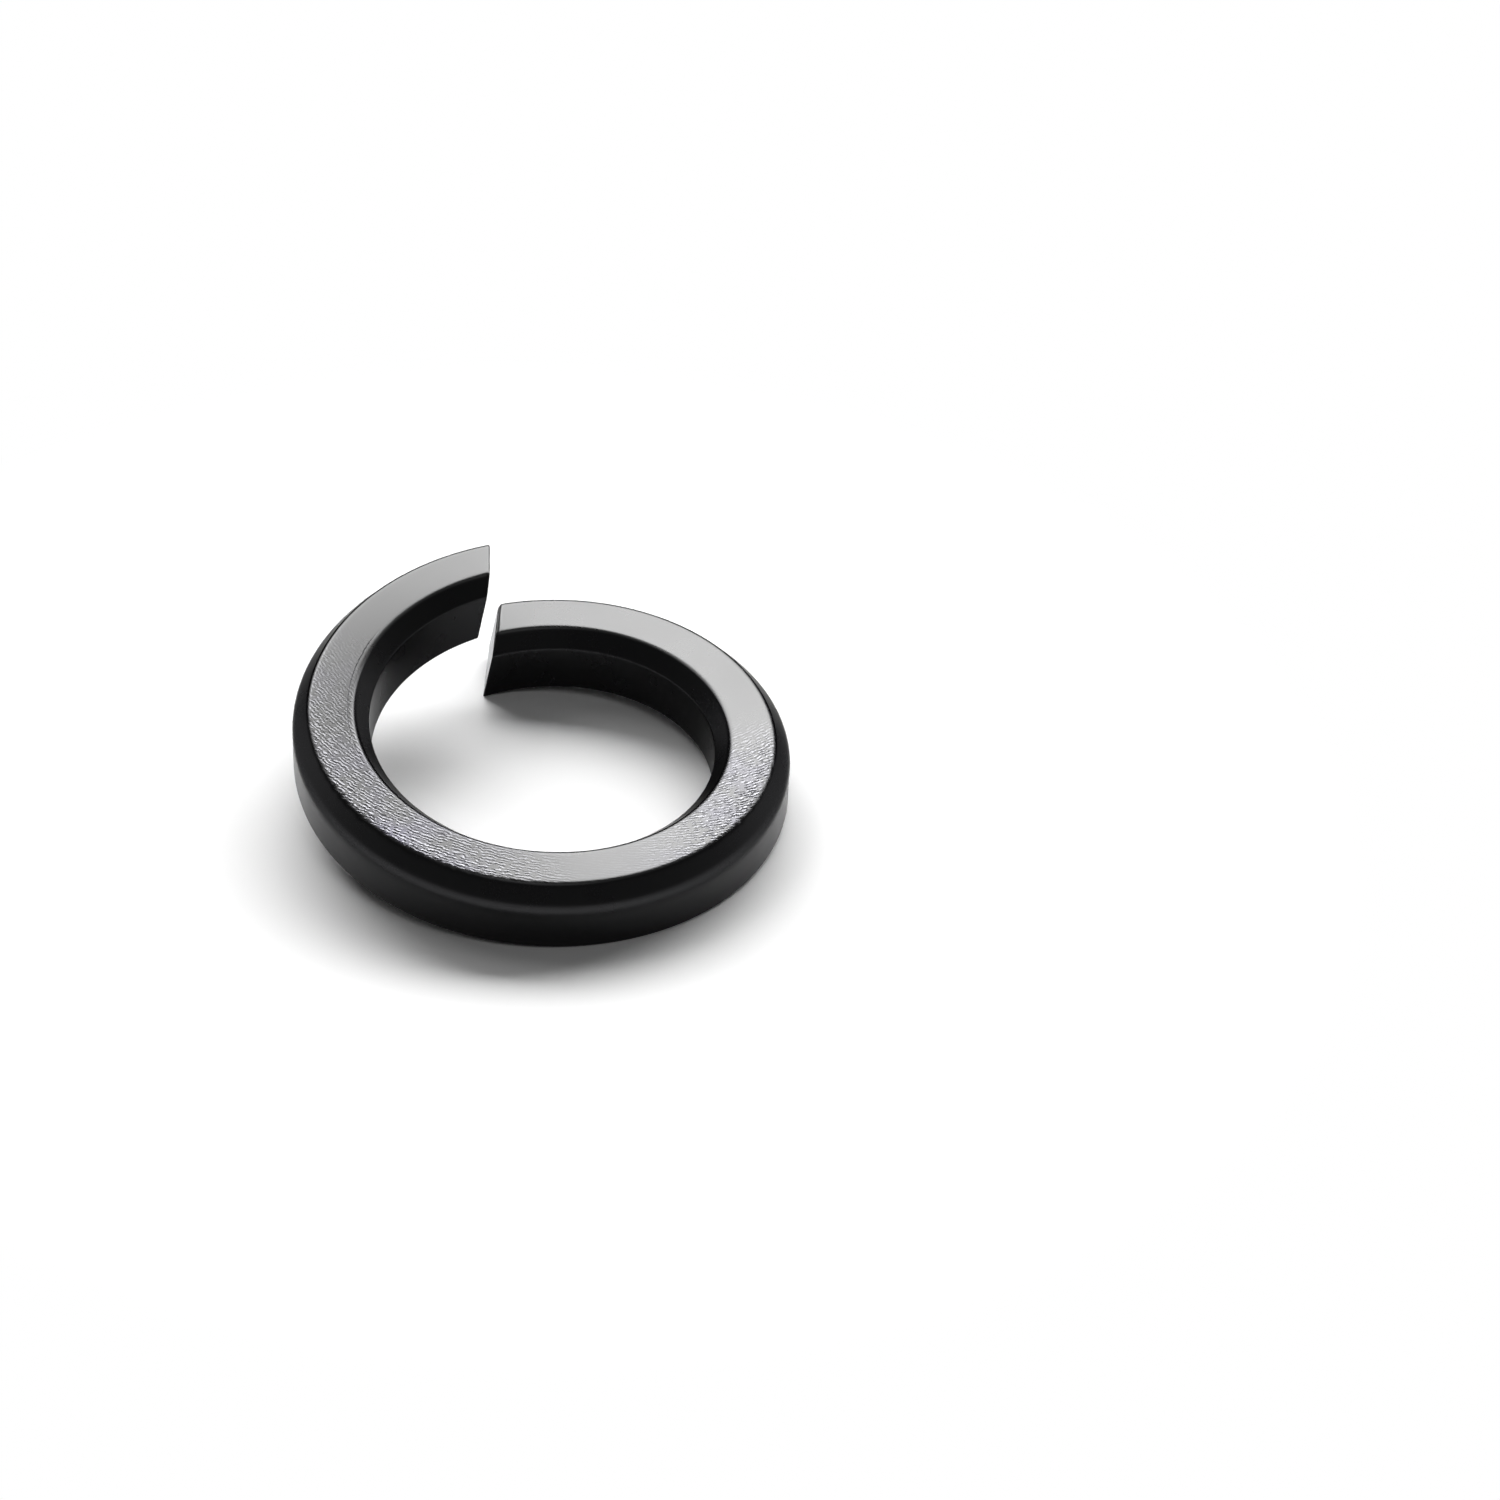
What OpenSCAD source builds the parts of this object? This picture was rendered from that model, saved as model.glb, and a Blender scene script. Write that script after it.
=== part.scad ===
// Helical spring lock washer with a bevelled section, for an M12 screw.
// One coil of spring steel, wound left-handed: seen from above it climbs clockwise.
// Both ends are sheared on a slant, so the top corner of the upper end and the bottom
// corner of the lower end stick out and bite.
// It lies on the plane z = 0 as it comes to rest: on the inner tip of its lower end and
// on the outer edge across from the opening. The opening faces +Y. The bore's axis passes
// through the origin and leans by the angle the coil needs to rest.

/* [Ring] */
// Diameter of the bore that the screw goes through, mm
bore_d = 12.2; // [11.6:0.1:13.0]
// Width of the section, from the bore to the rim, mm
section_w = 2.7; // [2.2:0.05:3.6]
// Height of the section from its flat bottom to its flat top, mm
section_h = 2.45; // [1.8:0.05:3.2]
// Climb of the coil over a full turn, mm
lead = 2.95; // [1.2:0.05:4.2]

/* [Bevels] */
// Width of the bevel beside the bore, seen from above, mm
inner_bevel_w = 0.56; // [0.2:0.02:0.9]
// Height of the bevel beside the bore, mm
inner_bevel_h = 0.6; // [0.3:0.02:1.0]
// Width of the bevel at the rim, seen from above, mm
outer_bevel_w = 0.59; // [0.2:0.01:0.9]
// Height of the bevel at the rim, mm
outer_bevel_h = 0.72; // [0.3:0.02:1.1]

/* [Ends] */
// Opening between the two cut ends, measured along the middle of the section, mm
gap = 0.3; // [0.25:0.05:1.5]
// Lean of the cuts away from the bore's axis, degrees
cut_slant = 10.6; // [0:0.2:25]
// Turn of the cuts away from the line to the bore's axis, degrees
cut_skew = 17.2; // [0:0.2:20]
// Angle between the two cuts: the opening widens from the bore to the rim, degrees
cut_flare = 4.4; // [0:0.2:6]
// Size of the rolled-over edge where each cut meets the top face, mm
end_break = 0.12; // [0.04:0.02:0.24]

/* [Hidden] */
$fn = 96;
bore_r = bore_d / 2;
outer_r = bore_r + section_w;
mid_r = (bore_r + outer_r) / 2;
// stations along the coil
steps = 120;
// the sweep runs past the bore and the rim by this much, and round cutters trim it back
over = 0.25;
slant_k = tan(cut_slant);
first_skew_k = tan(cut_skew + cut_flare / 2);
last_skew_k = tan(cut_skew - cut_flare / 2);
inner_slope = inner_bevel_h / inner_bevel_w;
outer_slope = outer_bevel_h / outer_bevel_w;

// Section, as radius and height, from the bore's foot up, over the top and down the rim.
// The third value sets a point back from the cut: only the two top corners are rolled over.
section = [
    [bore_r - over, 0, 0],
    [bore_r - over, section_h - inner_bevel_h - over * inner_slope, 0],
    [bore_r + inner_bevel_w - end_break / inner_slope, section_h - end_break, 0],
    [bore_r + inner_bevel_w, section_h, end_break],
    [outer_r - outer_bevel_w, section_h, end_break],
    [outer_r - outer_bevel_w + end_break / outer_slope, section_h - end_break, 0],
    [outer_r + over, section_h - outer_bevel_h - over * outer_slope, 0],
    [outer_r + over, 0, 0]
];
sides = len(section);

// Angle, from the middle of the opening, at which the path of a section point meets a cut.
// The cut is a plane: shift is how far it stands along the coil, and the angle is found
// by repeating the plane's own equation, which settles in a few rounds.
function cut_angle(p, shift, skew_k, angle = 0, rounds = 8) =
    rounds == 0 ? angle :
    cut_angle(p, shift, skew_k, asin((shift
        + skew_k * (p[0] * cos(angle) - mid_r)
        + slant_k * (p[1] + lead * angle / 360 - section_h / 2)) / p[0]), rounds - 1);

function first_angle(p) = cut_angle(p, gap / 2 + p[2], first_skew_k);
function last_angle(p) = 360 + cut_angle(p, -gap / 2 - p[2], last_skew_k);

// Point of the coil at a radius, a height in the section and an angle around the bore
function on_coil(r, h, angle) = [r * sin(angle), r * cos(angle), h + lead * angle / 360];

function station_angle(p, i) = first_angle(p) + (last_angle(p) - first_angle(p)) * i / steps;

coil_points = [
    for (i = [0:steps]) for (p = section)
        on_coil(p[0], p[1], station_angle(p, i))
];

// Two triangles for each side of the section between one station and the next
skin = [
    for (i = [0:steps - 1]) for (j = [0:sides - 1])
        let (a = i * sides + j, b = i * sides + (j + 1) % sides)
            each [[a, b, b + sides], [a, b + sides, a + sides]]
];

// The cut face leaves out the two top corners, which belong to the rolled-over edge
cut_ring = [0, 1, 2, 5, 6, 7];
edge_ring = [2, 3, 4, 5];

function fan(ring, base, turned) = [
    for (k = [1:len(ring) - 2])
        turned ? [base + ring[0], base + ring[k + 1], base + ring[k]]
               : [base + ring[0], base + ring[k], base + ring[k + 1]]
];

caps = concat(
    fan(cut_ring, 0, true), fan(edge_ring, 0, true),
    fan(cut_ring, steps * sides, false), fan(edge_ring, steps * sides, false)
);

// Rest: the washer touches the ground with the inner bottom corner of its lower end and,
// across from it, with the lower rim, where the ground plane is tangent to the rim.
tip_angle = cut_angle([bore_r, 0], gap / 2, first_skew_k);
tip = on_coil(bore_r, 0, tip_angle);
mass_point = [0, 0, lead / 2 + section_h / 2];

function rim_way(angle) = [outer_r * cos(angle), -outer_r * sin(angle), lead / (2 * PI)];
function ground_up(angle) =
    let (n = cross(rim_way(angle), on_coil(outer_r, 0, angle) - tip)) n / norm(n);
// Which side of the line between the two contacts the mass lies on
function side_of_mass(angle) =
    cross(on_coil(outer_r, 0, angle) - tip, mass_point - tip) * ground_up(angle);
function balance(low, high, rounds = 24) =
    let (mid = (low + high) / 2)
        rounds == 0 ? mid :
        side_of_mass(low) * side_of_mass(mid) <= 0 ? balance(low, mid, rounds - 1)
                                                   : balance(mid, high, rounds - 1);

contact_angle = balance(140, 220);
up = ground_up(contact_angle);
rest_tilt = acos(up[2]);
ground_on_axis = (up * tip) / up[2];

module coil() {
    polyhedron(points = coil_points, faces = concat(skin, caps), convexity = 6);
}

module trimmed_coil() {
    reach = lead + section_h + 2;
    difference() {
        intersection() {
            coil();
            translate([0, 0, -1]) cylinder(r = outer_r, h = reach + 1);
        }
        translate([0, 0, -2]) cylinder(r = bore_r, h = reach + 3);
    }
}

module washer() {
    color([0.13, 0.13, 0.135])
        rotate(a = rest_tilt, v = cross(up, [0, 0, 1]))
            translate([0, 0, -ground_on_axis])
                trimmed_coil();
}

washer();
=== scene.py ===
"""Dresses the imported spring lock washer: a fine mesh over the CAD solid, finishes, floor, light and camera.

Coordinates are metres in the part's own frame. A class that holds millimetres or degrees says so.
"""
import logging
import math
from dataclasses import dataclass, field
from enum import Enum

import bpy
import numpy as np
from mathutils import Matrix, Vector


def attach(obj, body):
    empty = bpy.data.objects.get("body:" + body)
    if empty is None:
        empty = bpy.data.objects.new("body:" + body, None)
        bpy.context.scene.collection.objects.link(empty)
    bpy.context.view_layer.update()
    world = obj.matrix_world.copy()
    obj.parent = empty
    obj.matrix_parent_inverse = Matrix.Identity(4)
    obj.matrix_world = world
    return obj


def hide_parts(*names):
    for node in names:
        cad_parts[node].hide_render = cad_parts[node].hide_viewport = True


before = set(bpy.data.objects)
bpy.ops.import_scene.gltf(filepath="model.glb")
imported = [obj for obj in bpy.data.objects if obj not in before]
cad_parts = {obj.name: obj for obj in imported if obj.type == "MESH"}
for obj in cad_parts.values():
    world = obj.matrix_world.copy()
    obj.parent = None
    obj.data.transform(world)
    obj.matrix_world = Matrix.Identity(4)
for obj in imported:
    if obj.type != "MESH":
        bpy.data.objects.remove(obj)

MM = 0.001
# Pixels along each side of the photograph
PICTURE_SIDE = 1500
# Rounds in which the angle of a cut settles
CUT_ROUNDS = 8
# Degrees between which the rim touches the ground, and the halvings that find the place
CONTACT_RANGE = (140.0, 220.0)
CONTACT_ROUNDS = 24
# Distance between the ridges of Blender's Wave Texture at scale 1
WAVE_PERIOD = math.pi / 10
# Values that Blender's noise seldom leaves
NOISE_SPAN = (0.3, 0.7)
# Height of a skin without wrinkles, halfway between their valleys and ridges
PLAIN_LEVEL = 0.5

logging.basicConfig(level=logging.INFO, format="%(message)s")
log = logging.getLogger("washer")


def linear_colour(hex_colour: str) -> tuple[float, float, float, float]:
    """Turns an sRGB hex colour into the linear colour that shaders take.

    Args:
        hex_colour: Colour as "#rrggbb".

    Returns:
        Linear red, green and blue, with alpha 1.
    """
    parts = [int(hex_colour[i:i + 2], 16) / 255 for i in (1, 3, 5)]
    lin = [c / 12.92 if c <= 0.04045 else ((c + 0.055) / 1.055) ** 2.4 for c in parts]
    return (lin[0], lin[1], lin[2], 1.0)


def add_node(
    tree: bpy.types.NodeTree, kind: str, settings: dict | None = None, **inputs: object
) -> bpy.types.Node:
    """Adds a shader node, sets its properties and fills or links its inputs.

    Args:
        tree: Node tree that gets the node.
        kind: Blender's type name of the node, without "ShaderNode".
        settings: Properties of the node, by name.
        **inputs: Values or output sockets by input name, with "_" for a space, or by "in0" for a number.

    Returns:
        The new node.
    """
    node = tree.nodes.new("ShaderNode" + kind)
    for name, value in (settings or {}).items():
        setattr(node, name, value)
    for name, value in inputs.items():
        key = int(name[2:]) if name[:2] == "in" and name[2:].isdigit() else name.replace("_", " ")
        socket = node.inputs[key]
        if isinstance(value, bpy.types.NodeSocket):
            tree.links.new(value, socket)
        else:
            socket.default_value = value
    return node


def seen_directly(tree: bpy.types.NodeTree) -> bpy.types.NodeSocket:
    """Tells rays that show a surface from rays that only light it.

    Args:
        tree: Node tree that gets the nodes.

    Returns:
        A factor, 1 for camera, glossy and transmission rays and 0 for the others.
    """
    path = add_node(tree, "LightPath")
    seen = path.outputs["Is Camera Ray"]
    for ray in ("Is Glossy Ray", "Is Transmission Ray"):
        either = add_node(tree, "Math", {"operation": "MAXIMUM"}, in0=seen, in1=path.outputs[ray])
        seen = either.outputs[0]
    return seen


def place_in_mm(tree: bpy.types.NodeTree) -> bpy.types.NodeSocket:
    """Gives a finish the place of each point, so that its patterns have real sizes.

    Args:
        tree: Node tree that gets the nodes.

    Returns:
        Millimetres in the part's frame.
    """
    place = add_node(tree, "TexCoord").outputs["Object"]
    return add_node(tree, "Mapping", Vector=place, Scale=(1 / MM,) * 3).outputs[0]


class CoilEnd(Enum):
    """The two cut ends of the coil. Each value is the way along the coil from the cut into the wire."""

    LOWER = 1
    UPPER = -1


@dataclass(frozen=True)
class WasherSizes:
    """Sizes of the washer in millimetres and degrees, with the names that the part's source gives them."""

    bore_d: float = 12.2
    section_w: float = 2.7
    section_h: float = 2.45
    lead: float = 2.95
    inner_bevel_w: float = 0.56
    inner_bevel_h: float = 0.6
    outer_bevel_w: float = 0.59
    outer_bevel_h: float = 0.72
    gap: float = 0.3
    cut_slant: float = 10.6
    cut_skew: float = 17.2
    cut_flare: float = 4.4
    end_break: float = 0.12

    @property
    def bore_r(self) -> float:
        """Radius of the bore."""
        return self.bore_d / 2

    @property
    def outer_r(self) -> float:
        """Radius of the rim."""
        return self.bore_r + self.section_w

    @property
    def mid_r(self) -> float:
        """Radius of the middle of the section."""
        return (self.bore_r + self.outer_r) / 2

    def end_angle(self, points: np.ndarray, depth: float, end: CoilEnd) -> np.ndarray:
        """Angle at which the paths of section points meet a cut, or a copy of it further into the wire.

        A cut is a plane. Its own equation gives the angle, and settles when it is repeated.

        Args:
            points: Radius and height of the section points, as rows.
            depth: How far into the wire the copy stands.
            end: Which end it is.

        Returns:
            Angles in radians, the upper end's past a full turn.
        """
        r, h = points[:, 0], points[:, 1]
        shift = end.value * (self.gap / 2 + depth)
        skew = math.tan(math.radians(self.cut_skew + end.value * self.cut_flare / 2))
        slant = math.tan(math.radians(self.cut_slant))
        angle = np.zeros(len(points))
        for _ in range(CUT_ROUNDS):
            climb = h + self.lead * angle / math.tau - self.section_h / 2
            angle = np.arcsin((shift + skew * (r * np.cos(angle) - self.mid_r) + slant * climb) / r)
        return angle + (math.tau if end is CoilEnd.UPPER else 0.0)

    def on_coil(self, r: np.ndarray, h: np.ndarray, angle: np.ndarray) -> np.ndarray:
        """Points of the coil in the ring's own frame, with the bore's axis upright.

        Args:
            r: Radii.
            h: Heights in the section.
            angle: Angles in radians, clockwise seen from above.

        Returns:
            Points, with x, y and z along the last axis.
        """
        z = h + self.lead * angle / math.tau
        return np.stack(np.broadcast_arrays(r * np.sin(angle), r * np.cos(angle), z), axis=-1)


@dataclass(frozen=True)
class RestPose:
    """How the washer lies: on the inner tip of its lower end and on its rim across from it."""

    sizes: WasherSizes

    def _point(self, r: float, angle: float) -> np.ndarray:
        """A point of the coil's foot."""
        return self.sizes.on_coil(np.float64(r), np.float64(0.0), np.float64(angle))

    def _tip(self) -> np.ndarray:
        """The inner bottom corner of the lower end."""
        corner = np.array([[self.sizes.bore_r, 0.0]])
        return self._point(self.sizes.bore_r, float(self.sizes.end_angle(corner, 0.0, CoilEnd.LOWER)[0]))

    def _ground_up(self, angle: float) -> np.ndarray:
        """Finds the plane that passes through the tip and is tangent to the rim's foot.

        Args:
            angle: Where the rim touches it, in radians along the coil.

        Returns:
            The plane's upward normal.
        """
        s = self.sizes
        way = np.array([s.outer_r * math.cos(angle), -s.outer_r * math.sin(angle), s.lead / math.tau])
        normal = np.cross(way, self._point(s.outer_r, angle) - self._tip())
        return normal / np.linalg.norm(normal)

    def matrix(self) -> np.ndarray:
        """Finds the plane on which the mass is balanced, and lays the ring on it.

        Returns:
            A 4x4 matrix from the ring's own frame to the part's frame, in millimetres.
        """
        s = self.sizes
        tip = self._tip()
        mass = np.array([0.0, 0.0, s.lead / 2 + s.section_h / 2])

        def side(angle: float) -> float:
            """Which side of the line between the contacts the mass lies on."""
            lever = np.cross(self._point(s.outer_r, angle) - tip, mass - tip)
            return float(np.dot(lever, self._ground_up(angle)))

        low, high = (math.radians(a) for a in CONTACT_RANGE)
        for _ in range(CONTACT_ROUNDS):
            middle = (low + high) / 2
            if side(low) * side(middle) <= 0:
                high = middle
            else:
                low = middle
        up = self._ground_up((low + high) / 2)
        turn = Vector(up).rotation_difference(Vector((0, 0, 1))).to_matrix().to_4x4()
        ground_on_axis = float(np.dot(up, tip) / up[2])
        return np.array(turn @ Matrix.Translation((0, 0, -ground_on_axis)))


@dataclass(frozen=True)
class SectionShape:
    """Outline of the section with its worn arrises, as points from the inner bottom corner round.

    Lengths are in millimetres. The radii follow the corners: bore foot, bore wall to bevel, bevel to top,
    top to bevel, bevel to rim, rim foot. The spacing is that of the points on the straight sides.
    """

    sizes: WasherSizes
    radii: tuple[float, ...] = (0.05, 0.14, 0.24, 0.23, 0.6, 0.05)
    arc_steps: int = 6
    spacing: float = 0.085
    outer_arris: int = 3

    def corners(self) -> list[tuple[float, float]]:
        """Sharp corners of the section.

        Returns:
            Radius and height of each corner.
        """
        s = self.sizes
        return [
            (s.bore_r, 0.0),
            (s.bore_r, s.section_h - s.inner_bevel_h),
            (s.bore_r + s.inner_bevel_w, s.section_h),
            (s.outer_r - s.outer_bevel_w, s.section_h),
            (s.outer_r, s.section_h - s.outer_bevel_h),
            (s.outer_r, 0.0),
        ]

    def _arc(self, index: int) -> np.ndarray:
        """Rounds one corner with an arc that leaves both sides smoothly.

        Args:
            index: The corner's place in the list of corners.

        Returns:
            Radius and height of the arc's points, as rows.
        """
        pts = np.array(self.corners())
        here = pts[index]
        before = pts[index - 1] - here
        after = pts[(index + 1) % len(pts)] - here
        before /= np.linalg.norm(before)
        after /= np.linalg.norm(after)
        half = math.acos(float(np.clip(np.dot(before, after), -1, 1))) / 2
        reach = self.radii[index] / math.tan(half)
        start, stop = here + before * reach, here + after * reach
        bisector = (before + after) / np.linalg.norm(before + after)
        centre = here + bisector * self.radii[index] / math.sin(half)
        a0 = math.atan2(*(start - centre)[::-1])
        a1 = math.atan2(*(stop - centre)[::-1])
        sweep = (a1 - a0 + math.pi) % math.tau - math.pi
        turns = a0 + sweep * np.linspace(0, 1, self.arc_steps + 1)
        return centre + self.radii[index] * np.stack([np.cos(turns), np.sin(turns)], axis=-1)

    def outline(self) -> np.ndarray:
        """Joins the rounded corners and divides the straight sides evenly.

        Returns:
            Radius and height of each outline point, as rows.
        """
        arcs = [self._arc(i) for i in range(len(self.radii))]
        points: list[np.ndarray] = []
        for i, arc in enumerate(arcs):
            points.extend(arc)
            start, stop = arc[-1], arcs[(i + 1) % len(arcs)][0]
            count = max(2, round(float(np.linalg.norm(stop - start)) / self.spacing))
            points.extend(start + (stop - start) * k / count for k in range(1, count))
        return np.array(points)

    def across(self, outline: np.ndarray) -> np.ndarray:
        """Distance of each outline point from the top face's outer arris, along the outline.

        Args:
            outline: The points that outline() gives.

        Returns:
            Millimetres, positive over the top face towards the bore, negative down the rim.
        """
        steps = np.linalg.norm(np.diff(outline, axis=0), axis=1)
        length = np.concatenate([[0.0], np.cumsum(steps)])
        arris = np.array(self.corners()[self.outer_arris])
        return length[np.argmin(np.linalg.norm(outline - arris, axis=1))] - length


@dataclass(frozen=True)
class BlackOxide:
    """Hot-blacked spring steel: an oxide skin that oil leaves satin, over rolled wire.

    The eye gets a nearly black face that turns pale grey where it mirrors a lamp. The bevels, which stay
    blackest, and the walls get darker copies of the top's colour, painted shade that makes them mirror the
    surroundings dimly, and an edge tint dims grazing reflections everywhere but on the rim, painted shade
    that is darkest along both arrises of the top. Where the wire was bent round the coiling arbor, the skin
    of the top is wrinkled, with a painted highlight on its ridges and painted shade in its valleys, and the
    arbor's edge left a fine groove beside the bore, darkened with painted shade.
    Metallic is 1 and the IOR the default, as for any steel. Lengths are in millimetres, and the size of
    the breaks is in wrinkles. A list of zones pairs degrees along the coil with a strength, and one that
    goes across pairs the way in from the top's outer arris with one.
    """

    sizes: WasherSizes
    # The top's own oxide colour; the bevel and wall tones below are darker copies of it, painted shade.
    top_face: str = "#4d4d4d"
    pale: str = "#505050"
    bluish: str = "#56555d"
    # The bevel and wall tones are painted shade: darker copies of the top's oxide, so that these faces mirror
    # the surroundings dimly.
    bevel: str = "#2f2f30"
    wall: str = "#353536"
    # Painted shade for the wrinkles' valleys and the groove, and a painted highlight for the wrinkles'
    # ridges.
    painted_crease_shade: str = "#29292b"
    painted_ridge_highlight: str = "#858589"
    roughness: float = 0.28
    gloss_spread: float = 0.02
    wall_dulling: float = 0.045
    wrinkle_dulling: float = 0.04
    mottle: float = 2.2
    blue_patches: tuple[float, float] = (0.45, 0.65)
    grain: float = 0.12
    grain_height: float = 0.0003
    wrinkle: float = 0.125
    wrinkle_height: float = 0.0125
    wrinkle_swing: float = 0.4
    wrinkle_wander: float = 6.5
    wrinkle_breaks: tuple[float, float] = (0.38, 0.54)
    break_size: float = 1.4
    wrinkle_centre: tuple[float, float, float] = (3.9, 5.9, 0.0)
    wrinkle_zones: tuple[tuple[float, float], ...] = (
        (98, 0.0), (112, 0.7), (128, 1.0), (146, 0.85), (158, 0.4), (170, 0.08), (186, 0.04), (198, 0.35),
        (214, 0.8), (235, 1.0), (260, 0.8), (280, 0.5), (298, 0.2), (316, 0.0),
    )
    groove_in: float = 0.2
    groove_width: float = 0.05
    groove_wander: float = 0.12
    groove_bend: float = 0.5
    groove_zones: tuple[tuple[float, float], ...] = (
        (255, 0.0), (268, 0.5), (285, 1.0), (308, 1.0), (318, 0.0),
    )
    wrinkle_across: tuple[tuple[float, float], ...] = ((0.0, 1.0), (0.3, 0.9), (0.7, 0.6), (1.5, 0.5))
    top_face_across: tuple[tuple[float, float], ...] = ((-0.06, 0.0), (0.07, 1.0), (1.48, 1.0), (1.61, 0.0))
    walls_across: tuple[tuple[float, float], ...] = ((-1.4, 1.0), (-1.1, 0.0), (4.3, 0.0))
    # Specular tint across the section: painted shade that dims grazing reflections everywhere but on the rim,
    # and takes them away along both arrises of the top, drawing dark lines there.
    painted_edge_shade_across: tuple[tuple[float, float], ...] = (
        (-1.4, 1.0), (-0.95, 0.5), (-0.15, 0.42), (-0.05, 0.0), (0.07, 0.0), (0.14, 0.5), (1.4, 0.5),
        (1.48, 0.0), (1.6, 0.0), (1.75, 0.5), (2.2, 0.45), (2.5, 0.6),
    )

    def material(self) -> bpy.types.Material:
        """Builds the finish.

        Returns:
            The material.
        """
        mat = bpy.data.materials.new("blackened_spring_steel")
        mat.use_nodes = True
        tree = mat.node_tree
        shader = tree.nodes["Principled BSDF"]
        shader.inputs["Metallic"].default_value = 1.0
        place = place_in_mm(tree)
        wire = add_node(tree, "Attribute", {"attribute_name": "wire"}).outputs["Vector"]
        split = add_node(tree, "SeparateXYZ", Vector=wire)
        across = split.outputs["Y"]
        degrees_per_mm = 360 / (math.tau * self.sizes.mid_r)
        turn = add_node(
            tree, "Math", {"operation": "MULTIPLY"}, in0=split.outputs["X"], in1=degrees_per_mm
        ).outputs[0]
        # The specular tint carries painted shade, darkest at the arrises.
        gleam = self._ramp(tree, across, self.painted_edge_shade_across)
        tree.links.new(gleam, shader.inputs["Specular Tint"])
        # Marks the top face, which keeps the lighter colour while the bevels and walls get painted shade.
        top_face = self._ramp(tree, across, self.top_face_across)
        bent = add_node(
            tree, "Math", {"operation": "MULTIPLY"}, in0=self._ramp(tree, turn, self.wrinkle_zones),
            in1=self._ramp(tree, across, self.wrinkle_across),
        )
        zone = add_node(tree, "Math", {"operation": "MULTIPLY"}, in0=bent.outputs[0], in1=top_face).outputs[0]
        cloud = add_node(
            tree, "TexNoise", Vector=place, Scale=1 / self.mottle, Detail=4.0, Roughness=0.6
        ).outputs["Fac"]
        skin = self._wrinkles(tree, place)
        groove = self._groove(tree, place, across, turn)
        walls = self._ramp(tree, across, self.walls_across)
        self._colour(tree, shader, cloud, walls, top_face, zone, skin, groove)
        self._gloss(tree, shader, cloud, walls, zone)
        self._relief(tree, shader, place, skin, zone, groove)
        return mat

    def _ramp(
        self, tree: bpy.types.NodeTree, value: bpy.types.NodeSocket, stops: tuple[tuple[float, float], ...]
    ) -> bpy.types.NodeSocket:
        """Turns a value into a strength that runs evenly from stop to stop.

        Args:
            tree: The finish's node tree.
            value: What the strength depends on.
            stops: Values in rising order, each with the strength there.

        Returns:
            The strength.
        """
        low, high = stops[0][0], stops[-1][0]
        share = add_node(tree, "MapRange", Value=value, From_Min=low, From_Max=high)
        ramp = add_node(tree, "ValToRGB", Fac=share.outputs[0])
        marks = ramp.color_ramp.elements
        for mark, (_, strength) in zip(marks, (stops[0], stops[-1])):
            mark.color = (strength, strength, strength, 1.0)
        for at, strength in stops[1:-1]:
            marks.new((at - low) / (high - low)).color = (strength, strength, strength, 1.0)
        return ramp.outputs[0]

    def _wrinkles(self, tree: bpy.types.NodeTree, place: bpy.types.NodeSocket) -> bpy.types.NodeSocket:
        """Fine ridges that wander round the bend and break off.

        The real skin is finer still, and is drawn as coarse as it needs to show.

        Args:
            tree: The finish's node tree.
            place: Millimetres in the part's frame.

        Returns:
            A height from 0 to 1.
        """
        shifted = add_node(tree, "VectorMath", {"operation": "SUBTRACT"}, in0=place, in1=self.wrinkle_centre)
        wave = add_node(
            tree, "TexWave", {"wave_type": "RINGS", "rings_direction": "Z"}, Vector=shifted.outputs[0],
            Scale=WAVE_PERIOD / self.wrinkle, Distortion=self.wrinkle_wander,
            Detail=3.0, Detail_Scale=1.5, Detail_Roughness=0.6,
        )
        patch = self.break_size * self.wrinkle
        breaks = add_node(tree, "TexNoise", Vector=place, Scale=1 / patch, Detail=1.0)
        broken, whole = self.wrinkle_breaks
        kept = add_node(tree, "MapRange", Value=breaks.outputs["Fac"], From_Min=broken, From_Max=whole)
        swing = add_node(
            tree, "Math", {"operation": "SUBTRACT"}, in0=wave.outputs["Fac"], in1=PLAIN_LEVEL
        )
        return add_node(
            tree, "Math", {"operation": "MULTIPLY_ADD"},
            in0=swing.outputs[0], in1=kept.outputs[0], in2=PLAIN_LEVEL,
        ).outputs[0]

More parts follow.
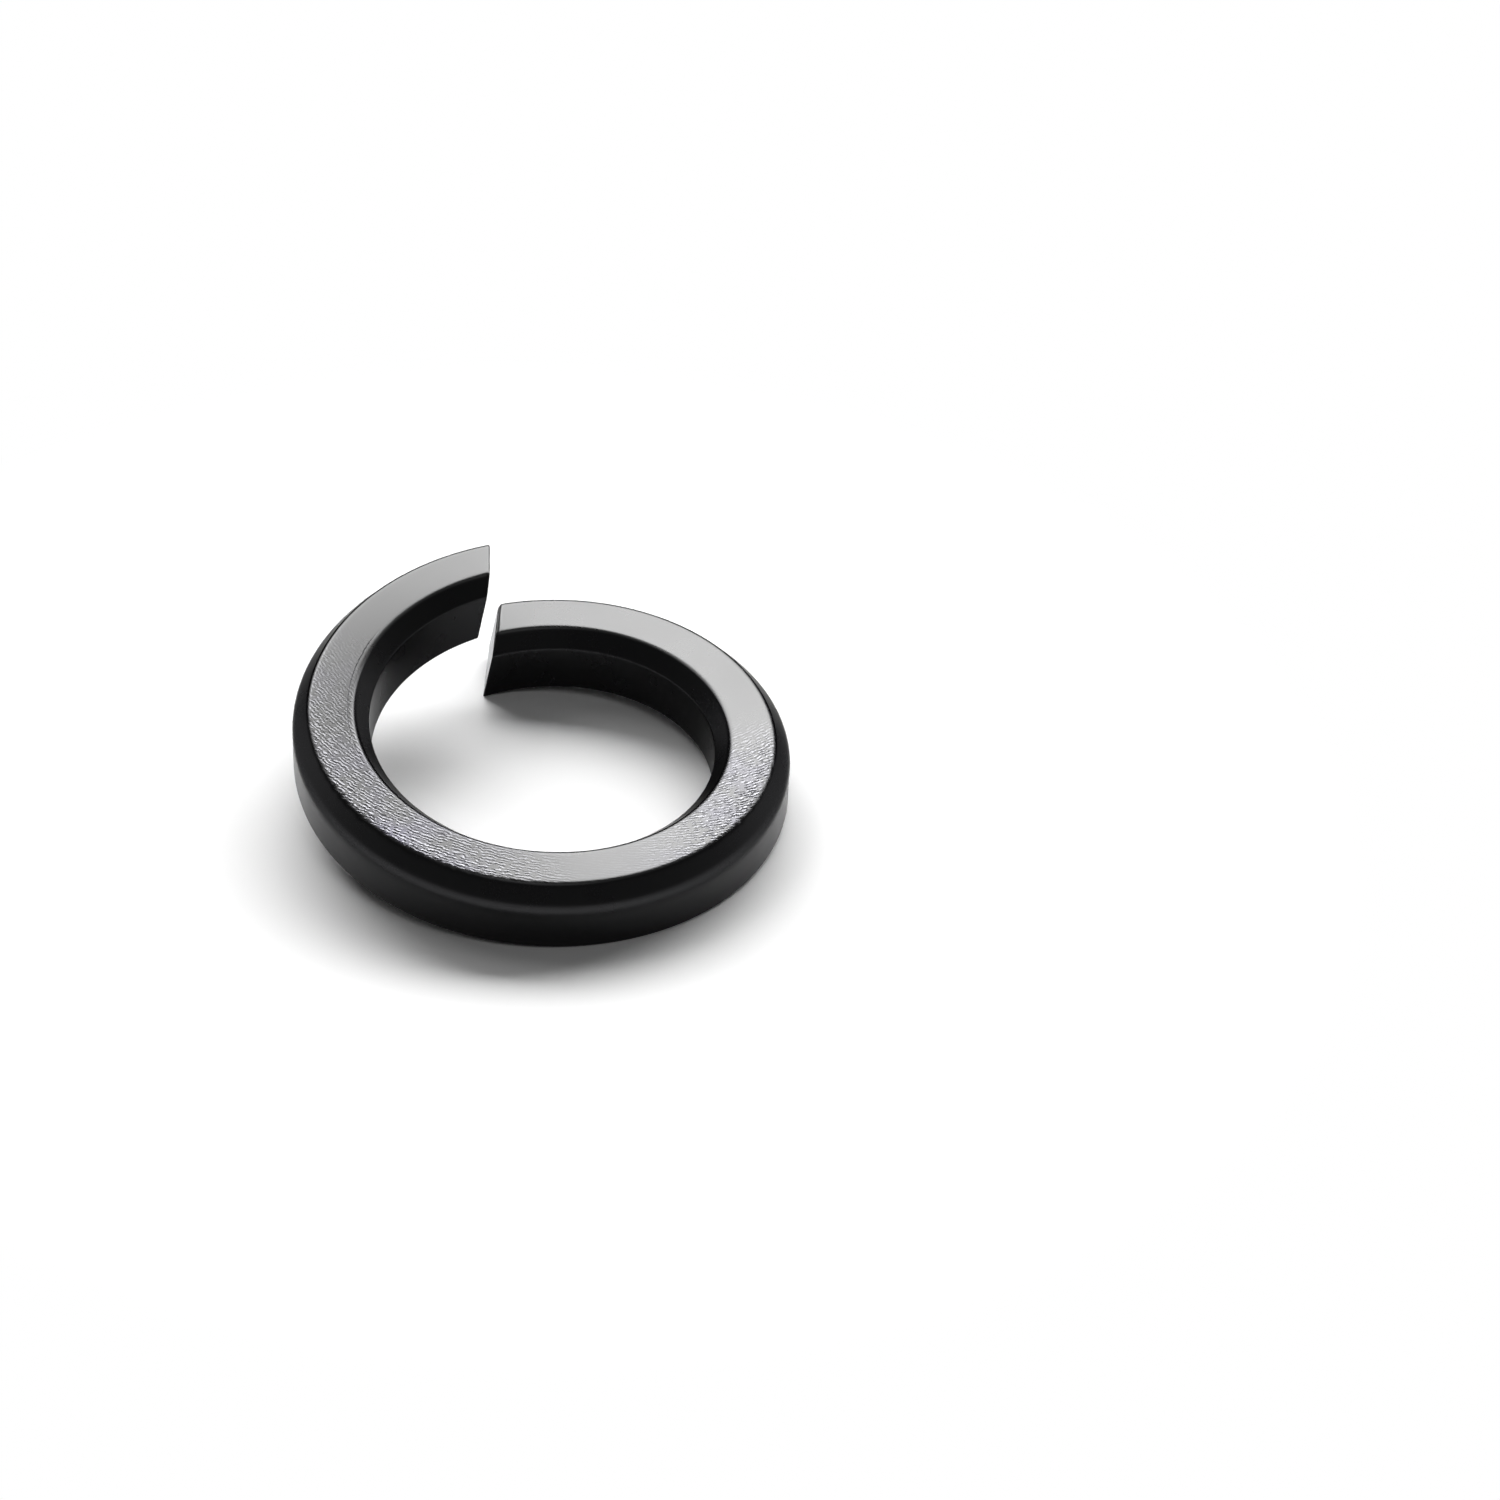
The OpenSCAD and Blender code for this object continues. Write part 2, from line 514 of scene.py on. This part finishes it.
    def _groove(
        self, tree: bpy.types.NodeTree, place: bpy.types.NodeSocket, across: bpy.types.NodeSocket,
        turn: bpy.types.NodeSocket,
    ) -> bpy.types.NodeSocket:
        """The fine groove beside the bore, whose depth sinks the relief and sets the painted shade in it.

        Args:
            tree: The finish's node tree.
            place: Millimetres in the part's frame.
            across: Millimetres in from the top's outer arris.
            turn: Degrees along the coil.

        Returns:
            A depth from 0 to 1.
        """
        top = self.sizes.section_w - self.sizes.inner_bevel_w - self.sizes.outer_bevel_w
        middle = top - self.groove_in + self.groove_wander / 2
        wander = add_node(tree, "TexNoise", Vector=place, Scale=1 / self.groove_bend, Detail=3.0)
        line = add_node(
            tree, "Math", {"operation": "MULTIPLY_ADD"},
            in0=wander.outputs["Fac"], in1=self.groove_wander, in2=across,
        )
        off = add_node(tree, "Math", {"operation": "SUBTRACT"}, in0=line.outputs[0], in1=middle)
        far = add_node(tree, "Math", {"operation": "ABSOLUTE"}, in0=off.outputs[0])
        near = add_node(
            tree, "MapRange", {"interpolation_type": "SMOOTHSTEP"}, Value=far.outputs[0],
            From_Min=self.groove_width / 2, From_Max=0.0,
        )
        return add_node(
            tree, "Math", {"operation": "MULTIPLY"}, in0=near.outputs[0],
            in1=self._ramp(tree, turn, self.groove_zones),
        ).outputs[0]

    def _blend(
        self, tree: bpy.types.NodeTree, share: bpy.types.NodeSocket, before: bpy.types.NodeSocket | str,
        after: bpy.types.NodeSocket | str,
    ) -> bpy.types.NodeSocket:
        """Mixes two colours.

        Args:
            tree: The finish's node tree.
            share: How much of the second colour.
            before: The first colour, as hex or a socket.
            after: The second colour, as hex or a socket.

        Returns:
            The mixed colour.
        """
        ends = [linear_colour(c) if isinstance(c, str) else c for c in (before, after)]
        return add_node(tree, "Mix", {"data_type": "RGBA"}, in0=share, in6=ends[0], in7=ends[1]).outputs[2]

    def _colour(
        self, tree: bpy.types.NodeTree, shader: bpy.types.Node, cloud: bpy.types.NodeSocket,
        walls: bpy.types.NodeSocket, top_face: bpy.types.NodeSocket, zone: bpy.types.NodeSocket,
        skin: bpy.types.NodeSocket, groove: bpy.types.NodeSocket,
    ) -> None:
        """Mottles the oxide, and paints a highlight on the wrinkles' ridges, shade in their valleys and in
        the groove, and shade on the bevels and walls as darker copies of the top's colour.

        Args:
            tree: The finish's node tree.
            shader: The node that gets the colour.
            cloud: Soft mottling.
            walls: Where the bore and the rim are.
            top_face: Where the top face is.
            zone: How wrinkled the top is.
            skin: Height of the wrinkles.
            groove: Depth of the groove.
        """
        colour = self._blend(tree, cloud, self.top_face, self.pale)
        low, high = PLAIN_LEVEL - self.wrinkle_swing, PLAIN_LEVEL + self.wrinkle_swing
        # Mottling first, then painted shade in the wrinkles' valleys and a painted highlight on their ridges.
        for value, ends, added in (
            (cloud, self.blue_patches, self.bluish),
            (skin, (PLAIN_LEVEL, low), self.painted_crease_shade),
            (skin, (PLAIN_LEVEL, high), self.painted_ridge_highlight),
        ):
            share = add_node(tree, "MapRange", Value=value, From_Min=ends[0], From_Max=ends[1])
            there = add_node(tree, "Math", {"operation": "MULTIPLY"}, in0=share.outputs[0], in1=zone)
            colour = self._blend(tree, there.outputs[0], colour, added)
        # Painted shade in the groove.
        colour = self._blend(tree, groove, colour, self.painted_crease_shade)
        # Painted shade: the bevels and walls take darker copies of the top's colour.
        sides = self._blend(tree, walls, self.bevel, self.wall)
        colour = self._blend(tree, top_face, sides, colour)
        tree.links.new(colour, shader.inputs["Base Color"])

    def _gloss(
        self, tree: bpy.types.NodeTree, shader: bpy.types.Node, cloud: bpy.types.NodeSocket,
        walls: bpy.types.NodeSocket, zone: bpy.types.NodeSocket,
    ) -> None:
        """Varies the gloss a little, and dulls the walls and the wrinkled stretches.

        Args:
            tree: The finish's node tree.
            shader: The node that gets the gloss.
            cloud: Soft mottling.
            walls: Where the bore and the rim are.
            zone: How wrinkled the top is.
        """
        gloss = add_node(
            tree, "MapRange", Value=cloud, From_Min=NOISE_SPAN[0], From_Max=NOISE_SPAN[1],
            To_Min=self.roughness - self.gloss_spread, To_Max=self.roughness + self.gloss_spread,
        ).outputs[0]
        for where, dulling in ((zone, self.wrinkle_dulling), (walls, self.wall_dulling)):
            gloss = add_node(
                tree, "Math", {"operation": "MULTIPLY_ADD"}, in0=where, in1=dulling, in2=gloss
            ).outputs[0]
        tree.links.new(gloss, shader.inputs["Roughness"])

    def _relief(
        self, tree: bpy.types.NodeTree, shader: bpy.types.Node, place: bpy.types.NodeSocket,
        skin: bpy.types.NodeSocket, zone: bpy.types.NodeSocket, groove: bpy.types.NodeSocket,
    ) -> None:
        """Raises the wrinkles and sinks the groove, over a faint grain that covers everything.

        The real grain is finer, and is drawn as coarse as it needs to show.

        Args:
            tree: The finish's node tree.
            shader: The node that gets the relief.
            place: Millimetres in the part's frame.
            skin: Height of the wrinkles.
            zone: How wrinkled the top is.
            groove: Depth of the groove.
        """
        grain = add_node(tree, "TexNoise", Vector=place, Scale=1 / self.grain, Detail=3.0, Roughness=0.6)
        fine = add_node(
            tree, "Bump", Height=grain.outputs["Fac"], Strength=1.0, Distance=self.grain_height * MM
        )
        ridges = add_node(tree, "Math", {"operation": "MULTIPLY"}, in0=skin, in1=zone)
        height = add_node(tree, "Math", {"operation": "SUBTRACT"}, in0=ridges.outputs[0], in1=groove)
        raised = add_node(
            tree, "Bump", Height=height.outputs[0], Strength=1.0, Distance=self.wrinkle_height * MM,
            Normal=fine.outputs[0],
        )
        tree.links.new(raised.outputs[0], shader.inputs["Normal"])


@dataclass(frozen=True)
class ShearedSteel:
    """Bare spring steel of the sheared ends, which the blade first pressed down, then cut, then tore.

    The eye gets light grey with faint oval arcs, below a streaked band where the black skin was drawn over
    the edge. Metallic is 1 and the IOR the default, as for any steel. Lengths are in millimetres, angles
    in radians, and the fades of the band and of its dark seam are measured up from the band's edge.
    """

    sizes: WasherSizes
    colour: str = "#b9babc"
    dark: str = "#8a8b8d"
    skin: str = "#3c3c3d"
    roughness: float = 0.42
    gloss_spread: float = 0.08
    skin_dulling: float = 0.3
    arc: float = 0.55
    arc_height: float = 0.006
    arc_centre: tuple[float, float] = (7.9, 0.5)
    arc_turn: float = 0.3
    arc_stretch: float = 1.7
    arc_wander: float = 2.5
    tear: float = 0.25
    tear_share: float = 0.6
    drawn: float = 0.6
    fray: float = 0.2
    band_fade: tuple[float, float] = (-0.04, 0.03)
    seam_fade: tuple[float, float] = (0.05, 0.12)
    streak: float = 0.25
    streak_slant: float = 0.9
    streak_stretch: float = 0.3
    streak_edges: tuple[float, float] = (0.45, 0.65)
    streak_cover: float = 0.45

    def material(self) -> bpy.types.Material:
        """Builds the finish.

        Returns:
            The material.
        """
        mat = bpy.data.materials.new("sheared_spring_steel")
        mat.use_nodes = True
        tree = mat.node_tree
        shader = tree.nodes["Principled BSDF"]
        shader.inputs["Metallic"].default_value = 1.0
        place = place_in_mm(tree)
        height = add_node(tree, "Attribute", {"attribute_name": "section_height"}).outputs["Fac"]
        face = add_node(
            tree, "CombineXYZ", Y=add_node(tree, "SeparateXYZ", Vector=place).outputs["Y"], Z=height
        )
        ovals = add_node(
            tree, "Mapping", {"vector_type": "TEXTURE"}, Vector=face.outputs[0],
            Location=(0.0, *self.arc_centre), Rotation=(self.arc_turn, 0.0, 0.0),
            Scale=(1.0, 1.0, self.arc_stretch),
        )
        arcs = add_node(
            tree, "TexWave", {"wave_type": "RINGS", "rings_direction": "X"}, Vector=ovals.outputs[0],
            Scale=WAVE_PERIOD / self.arc, Distortion=self.arc_wander, Detail=3.0, Detail_Scale=0.8,
        )
        tear = add_node(tree, "TexNoise", Vector=place, Scale=1 / self.tear, Detail=5.0, Roughness=0.65)
        mark = add_node(
            tree, "Mix", in0=self.tear_share, in2=arcs.outputs["Fac"], in3=tear.outputs["Fac"]
        )
        shade = add_node(
            tree, "Mix", {"data_type": "RGBA"}, in0=mark.outputs[0],
            in6=linear_colour(self.dark), in7=linear_colour(self.colour),
        )
        drawn = self._drawn_band(tree, place, height, tear.outputs["Fac"])
        covered = add_node(
            tree, "Mix", {"data_type": "RGBA"}, in0=drawn, in6=shade.outputs[2], in7=linear_colour(self.skin)
        )
        tree.links.new(covered.outputs[2], shader.inputs["Base Color"])
        gleam = add_node(tree, "MapRange", Value=drawn, To_Min=1.0, To_Max=0.0)
        tree.links.new(gleam.outputs[0], shader.inputs["Specular Tint"])
        gloss = add_node(
            tree, "MapRange", Value=tear.outputs["Fac"], From_Min=NOISE_SPAN[0], From_Max=NOISE_SPAN[1],
            To_Min=self.roughness - self.gloss_spread, To_Max=self.roughness + self.gloss_spread,
        )
        dulled = add_node(
            tree, "Math", {"operation": "MULTIPLY_ADD"},
            in0=drawn, in1=self.skin_dulling, in2=gloss.outputs[0],
        )
        tree.links.new(dulled.outputs[0], shader.inputs["Roughness"])
        relief = add_node(tree, "Bump", Height=mark.outputs[0], Strength=1.0, Distance=self.arc_height * MM)
        tree.links.new(relief.outputs[0], shader.inputs["Normal"])
        return mat

    def _drawn_band(
        self, tree: bpy.types.NodeTree, place: bpy.types.NodeSocket, height: bpy.types.NodeSocket,
        tear: bpy.types.NodeSocket,
    ) -> bpy.types.NodeSocket:
        """Marks the band under the top edge that the black skin covers, with bare streaks in it.

        Args:
            tree: The finish's node tree.
            place: Millimetres in the part's frame.
            height: Millimetres up the section.
            tear: Rough mottling that frays the band's edge.

        Returns:
            How covered the steel is, from 0 to 1.
        """
        frayed = add_node(tree, "Math", {"operation": "MULTIPLY_ADD"}, in0=tear, in1=self.fray, in2=height)
        edge = self.sizes.section_h - self.drawn + self.fray / 2
        band = add_node(
            tree, "MapRange", {"interpolation_type": "SMOOTHSTEP"}, Value=frayed.outputs[0],
            From_Min=edge + self.band_fade[0], From_Max=edge + self.band_fade[1],
        )
        slanted = add_node(
            tree, "Mapping", Vector=place, Rotation=(self.streak_slant, 0.0, 0.0),
            Scale=(1.0, 1.0, self.streak_stretch),
        )
        streaks = add_node(tree, "TexNoise", Vector=slanted.outputs[0], Scale=1 / self.streak, Detail=2.0)
        bare = add_node(
            tree, "MapRange", Value=streaks.outputs["Fac"], To_Min=1.0, To_Max=self.streak_cover,
            From_Min=self.streak_edges[0], From_Max=self.streak_edges[1],
        )
        seam = add_node(
            tree, "MapRange", {"interpolation_type": "SMOOTHSTEP"}, Value=frayed.outputs[0],
            From_Min=edge + self.seam_fade[0], From_Max=edge + self.seam_fade[1], To_Min=1.0, To_Max=0.0,
        )
        worn = add_node(tree, "Math", {"operation": "MAXIMUM"}, in0=bare.outputs[0], in1=seam.outputs[0])
        return add_node(
            tree, "Math", {"operation": "MULTIPLY"}, in0=band.outputs[0], in1=worn.outputs[0]
        ).outputs[0]


@dataclass
class SpringCoil:
    """The washer itself: one sweep of the section along the coil, closed by its two cut faces.

    Lengths are in millimetres, and the zones with nicks in degrees along the coil.
    """

    sizes: WasherSizes = field(default_factory=WasherSizes)
    turn_steps: int = 540
    edge_rings: int = 6
    edge_break: float = 0.045
    rolled_breaks: int = 4
    cap_rings: int = 10
    nick: float = 0.036
    nick_rarity: int = 3
    nick_offset: float = 0.02
    nick_spread: float = 0.07
    nick_way: tuple[float, float] = (0.6, 0.8)
    nick_zones: tuple[tuple[float, float], ...] = (
        (100, 0.0), (115, 0.8), (150, 0.6), (165, 0.0), (195, 0.1), (215, 0.8), (262, 0.8), (285, 0.2),
        (300, 0.0),
    )
    seed: int = 5

    def _end_ring(self, outline: np.ndarray, depth: float, end: CoilEnd) -> tuple[np.ndarray, np.ndarray]:
        """One ring of the section near a cut, drawn in where the edge of the cut is rolled over.

        Args:
            outline: Section points.
            depth: Distance from the cut.
            end: Which end it is.

        Returns:
            The ring's section points and their angles.
        """
        s = self.sizes

        def drop(radius: float) -> float:
            """How far a rounded edge has fallen at this depth."""
            rest = max(radius - depth, 0.0)
            return radius - math.sqrt(max(radius * radius - rest * rest, 0.0))

        middle = outline.mean(axis=0)
        away = outline - middle
        away /= np.linalg.norm(away, axis=1)[:, None]
        ring = outline - away * drop(self.edge_break)
        knee = s.section_h - self.rolled_breaks * s.end_break
        upper = np.clip((ring[:, 1] - knee) / (s.section_h - knee), 0.0, None)
        ring[:, 1] -= upper * drop(s.end_break)
        return ring, s.end_angle(ring, depth, end)

    def _rings(self, outline: np.ndarray) -> tuple[np.ndarray, np.ndarray]:
        """Lines up all rings from the lower cut to the upper one, closest together near the cuts.

        Args:
            outline: Section points.

        Returns:
            Section points and angles of every ring.
        """
        deepest = self.sizes.end_break
        depths = deepest * (1 - np.cos(np.linspace(0, math.pi / 2, self.edge_rings + 1)))
        lower = [self._end_ring(outline, float(d), CoilEnd.LOWER) for d in depths]
        upper = [self._end_ring(outline, float(d), CoilEnd.UPPER) for d in depths[::-1]]
        first, last = lower[-1][1], upper[0][1]
        between = [
            (outline, first + (last - first) * k / self.turn_steps)
            for k in range(1, self.turn_steps)
        ]
        rings = lower + between + upper
        return np.array([r for r, _ in rings]), np.array([a for _, a in rings])

    def _nicks(self, across: np.ndarray, angles: np.ndarray) -> np.ndarray:
        """Small dents that wear left in the outer arris, where the bend made it ragged.

        Args:
            across: Distance of each section point from the arris along the outline.
            angles: Angle of each section point in each ring.

        Returns:
            How far each point of each ring is sunk, as radius and height.
        """
        rng = np.random.default_rng(self.seed)
        depth = self.nick * rng.random(len(angles)) ** self.nick_rarity
        degrees = np.degrees(angles.mean(axis=1))
        depth = depth * np.interp(degrees, *zip(*self.nick_zones))
        near = np.exp(-((across + self.nick_offset) / self.nick_spread) ** 2)
        return depth[:, None, None] * near[None, :, None] * np.array(self.nick_way)

    def _cap(self, ring: np.ndarray, end: CoilEnd) -> tuple[np.ndarray, np.ndarray]:
        """Points that fill a cut face, as shrinking rings round its middle.

        Args:
            ring: Section points of the cut's edge.
            end: Which end it is.

        Returns:
            Section points and angles, the last of them the middle.
        """
        middle = ring.mean(axis=0)
        shares = 1 - np.arange(1, self.cap_rings) / self.cap_rings
        points = np.concatenate([middle + (ring - middle) * k for k in shares] + [middle[None]])
        return points, self.sizes.end_angle(points, 0.0, end)

    def _band(self, outer: int, inner: int, sides: int) -> list[tuple[int, ...]]:
        """Joins two rings of points with a band of faces.

        Args:
            outer: Number of the first ring's first point.
            inner: Number of the second ring's first point.
            sides: How many points each ring has.

        Returns:
            The faces, as numbers of their points.
        """
        return [
            (outer + j, inner + j, inner + (j + 1) % sides, outer + (j + 1) % sides)
            for j in range(sides)
        ]

    def _cap_faces(self, base: int, start: int, sides: int, end: CoilEnd) -> list[tuple[int, ...]]:
        """Closes a cut with bands between its shrinking rings, and a fan at the middle.

        Args:
            base: Number of the first point of the cut's edge.
            start: Number of the first point inside the cut.
            sides: How many points each ring has.
            end: Which end it is.

        Returns:
            The faces, as numbers of their points, facing out of the steel.
        """
        loops = [base] + [start + n * sides for n in range(self.cap_rings - 1)]
        faces: list[tuple[int, ...]] = []
        for outer, inner in zip(loops, loops[1:]):
            faces.extend(self._band(outer, inner, sides))
        centre = start + (self.cap_rings - 1) * sides
        faces.extend((loops[-1] + j, centre, loops[-1] + (j + 1) % sides) for j in range(sides))
        return faces if end is CoilEnd.UPPER else [face[::-1] for face in faces]

    def build(self) -> bpy.types.Object:
        """Builds the mesh and lays it in its rest pose.

        Returns:
            The washer's object. Its "wire" attribute holds millimetres along and across the wire, and
            its "section_height" attribute those above the section's foot.
        """
        shape = SectionShape(self.sizes)
        outline = shape.outline()
        sides = len(outline)
        rings, angles = self._rings(outline)
        across = shape.across(outline)
        rings = rings - self._nicks(across, angles)
        heights = rings[..., 1].ravel()
        points = self.sizes.on_coil(rings[..., 0], rings[..., 1], angles).reshape(-1, 3)
        along = angles * self.sizes.mid_r
        wire = np.stack(np.broadcast_arrays(along, across[None], 0.0), axis=-1).reshape(-1, 3)
        last = len(rings) - 1
        faces: list[tuple[int, ...]] = []
        for i in range(last):
            faces.extend(self._band(i * sides, (i + 1) * sides, sides))
        finish = [0] * len(faces)
        for end, ring in ((CoilEnd.LOWER, 0), (CoilEnd.UPPER, last)):
            cap, turn = self._cap(rings[ring], end)
            made = self._cap_faces(ring * sides, len(points), sides, end)
            points = np.concatenate([points, self.sizes.on_coil(cap[:, 0], cap[:, 1], turn)])
            wire = np.concatenate([wire, np.zeros((len(cap), 3))])
            heights = np.concatenate([heights, cap[:, 1]])
            faces.extend(made)
            finish.extend([1] * len(made))
        pose = RestPose(self.sizes).matrix()
        placed = (points @ pose[:3, :3].T + pose[:3, 3]) * MM
        mesh = bpy.data.meshes.new("spring_washer")
        mesh.from_pydata(placed.tolist(), [], faces)
        mesh.polygons.foreach_set("material_index", finish)
        mesh.polygons.foreach_set("use_smooth", [True] * len(faces))
        attribute = mesh.attributes.new("wire", "FLOAT_VECTOR", "POINT")
        attribute.data.foreach_set("vector", wire.ravel())
        level = mesh.attributes.new("section_height", "FLOAT", "POINT")
        level.data.foreach_set("value", heights)
        mesh.validate()
        mesh.update()
        washer = bpy.data.objects.new("spring_washer", mesh)
        bpy.context.collection.objects.link(washer)
        return washer

    def dress(self, washer: bpy.types.Object) -> None:
        """Gives the coil its blackened skin and its cut faces their bare steel."""
        washer.data.materials.append(BlackOxide(self.sizes).material())
        washer.data.materials.append(ShearedSteel(self.sizes).material())


@dataclass(frozen=True)
class PaleFloor:
    """Matt white studio floor: seamless paper, which fades to plain white away from the shadow.

    Uncoated paper gives the eye an even white without gloss. Its half side is in metres, and the reach of
    the shadow and the start of the plain white are in millimetres.
    """

    colour: str = "#fbfbfb"
    roughness: float = 0.9
    half_side: float = 1.5
    grid: int = 9
    shadow_reach: float = 16.0
    white_from: float = 30.0

    def build(self) -> bpy.types.Object:
        """Builds the floor as a gridded sheet.

        Returns:
            The floor's object.
        """
        n = self.grid
        ticks = np.linspace(-self.half_side, self.half_side, n)
        points = [(x, y, 0.0) for y in ticks for x in ticks]
        corners = [row * n + column for row in range(n - 1) for column in range(n - 1)]
        faces = [(k, k + 1, k + n + 1, k + n) for k in corners]
        mesh = bpy.data.meshes.new("studio_floor")
        mesh.from_pydata(points, [], faces)
        mesh.update()
        floor = bpy.data.objects.new("studio_floor", mesh)
        bpy.context.collection.objects.link(floor)
        floor.data.materials.append(self.material())
        return floor

    def material(self) -> bpy.types.Material:
        """Builds the paper, which the camera and glossy surfaces see as plain white from some way off.

        Returns:
            The material.
        """
        mat = bpy.data.materials.new("matt_white_paper")
        mat.use_nodes = True
        tree = mat.node_tree
        paper = tree.nodes["Principled BSDF"]
        paper.inputs["Base Color"].default_value = linear_colour(self.colour)
        paper.inputs["Roughness"].default_value = self.roughness
        paper.inputs["Specular IOR Level"].default_value = 0.0
        place = add_node(tree, "TexCoord")
        reach = add_node(tree, "VectorMath", {"operation": "LENGTH"}, in0=place.outputs["Object"])
        far = add_node(
            tree, "MapRange", {"interpolation_type": "SMOOTHSTEP"}, Value=reach.outputs["Value"],
            From_Min=self.shadow_reach * MM, From_Max=self.white_from * MM,
        )
        share = add_node(
            tree, "Math", {"operation": "MULTIPLY"}, in0=far.outputs[0], in1=seen_directly(tree)
        )
        white = add_node(tree, "Emission", Color=linear_colour("#ffffff"), Strength=1.0)
        mixed = add_node(
            tree, "MixShader", in0=share.outputs[0], in1=paper.outputs[0], in2=white.outputs[0]
        )
        tree.links.new(mixed.outputs[0], tree.nodes["Material Output"].inputs["Surface"])
        return mat


@dataclass(frozen=True)
class Softbox:
    """A large soft lamp that points at the washer. Lengths are in metres, angles in degrees."""

    name: str
    azimuth: float
    elevation: float
    distance: float
    width: float
    height: float
    radiance: float
    colour: str = "#ffffff"

    def build(self) -> bpy.types.Object:
        """Builds the lamp. The azimuth turns clockwise from +Y, seen from above.

        Returns:
            The lamp's object.
        """
        a, e = math.radians(self.azimuth), math.radians(self.elevation)
        way = Vector((math.sin(a) * math.cos(e), math.cos(a) * math.cos(e), math.sin(e)))
        data = bpy.data.lights.new(self.name, "AREA")
        data.shape = "ELLIPSE"
        data.size = self.width
        data.size_y = self.height
        data.color = linear_colour(self.colour)[:3]
        data.energy = self.radiance * math.pi * (math.pi * self.width * self.height / 4)
        lamp = bpy.data.objects.new(self.name, data)
        lamp.location = way * self.distance
        lamp.rotation_euler = (-way).to_track_quat("-Z", "Y").to_euler()
        bpy.context.collection.objects.link(lamp)
        return lamp


@dataclass(frozen=True)
class StudioRoom:
    """The surroundings: a white horizon, where the floor would go on, that fades upward to a dim room.

    The camera and glossy surfaces see the fade, between two heights on a sphere of radius 1. The room
    lights matt surfaces as an even, dim one.
    """

    horizon: str = "#ffffff"
    above: str = "#626262"
    room: str = "#4c4c4c"
    fade: tuple[float, float] = (0.02, 0.38)

    def build(self) -> None:
        """Sets the world."""
        world = bpy.data.worlds.new("studio_room")
        bpy.context.scene.world = world
        world.use_nodes = True
        tree = world.node_tree
        background = tree.nodes["Background"]
        place = add_node(tree, "TexCoord")
        split = add_node(tree, "SeparateXYZ", Vector=place.outputs["Generated"])
        band = add_node(
            tree, "MapRange", {"interpolation_type": "SMOOTHSTEP"},
            Value=split.outputs["Z"], From_Min=self.fade[0], From_Max=self.fade[1],
        )
        mix = add_node(
            tree, "Mix", {"data_type": "RGBA"}, in0=band.outputs["Result"],
            in6=linear_colour(self.horizon), in7=linear_colour(self.above),
        )
        seen = add_node(
            tree, "Mix", {"data_type": "RGBA"}, in0=seen_directly(tree),
            in6=linear_colour(self.room), in7=mix.outputs[2],
        )
        tree.links.new(seen.outputs[2], background.inputs["Color"])
        background.inputs["Strength"].default_value = 1.0


@dataclass(frozen=True)
class ViewCamera:
    """The camera at the photograph's place.

    Lengths are in millimetres, the tilt in degrees, the focal length in pixels of the square picture, and
    the clipping distances in metres.
    """

    place: tuple[float, float, float] = (-34.149, -113.204, 88.815)
    aim: tuple[float, float, float] = (8.053, 0.654, 0.0)
    tilt: float = 4.016
    focal_pixels: float = 4122.38
    sensor: float = 36.0
    clip: tuple[float, float] = (0.01, 10.0)

    def build(self) -> bpy.types.Object:
        """Builds the camera and makes it the scene's own.

        Returns:
            The camera's object.
        """
        data = bpy.data.cameras.new("view_camera")
        data.sensor_width = self.sensor
        data.lens = self.sensor * self.focal_pixels / PICTURE_SIDE
        data.clip_start, data.clip_end = self.clip
        camera = bpy.data.objects.new("view_camera", data)
        place, aim = Vector(self.place) * MM, Vector(self.aim) * MM
        turn = (aim - place).to_track_quat("-Z", "Y").to_matrix()
        turn = turn @ Matrix.Rotation(math.radians(self.tilt), 3, "Z")
        camera.matrix_world = Matrix.Translation(place) @ turn.to_4x4()
        bpy.context.collection.objects.link(camera)
        bpy.context.scene.camera = camera
        return camera


def main() -> None:
    """Builds the washer and its studio, and reports each piece."""
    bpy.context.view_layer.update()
    bpy.context.scene.view_settings.view_transform = "Standard"
    ViewCamera().build()
    coil = SpringCoil()
    washer = coil.build()
    coil.dress(washer)
    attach(washer, "root")
    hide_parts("washer")
    log.info("%s: %d faces", washer.name, len(washer.data.polygons))
    floor = PaleFloor().build()
    log.info("%s: %d faces", floor.name, len(floor.data.polygons))
    StudioRoom().build()
    lamps = (
        Softbox("key_softbox", 22.5, 41, distance=0.9, width=2.0, height=0.43, radiance=9.1),
        Softbox("left_softbox", -30, 45, distance=0.9, width=0.6, height=0.5, radiance=2.0),
        Softbox("front_fill", 195, 66, distance=0.9, width=0.6, height=0.6, radiance=0.5),
    )
    for lamp in lamps:
        log.info("%s", lamp.build().name)


if __name__ == "__main__":
    main()
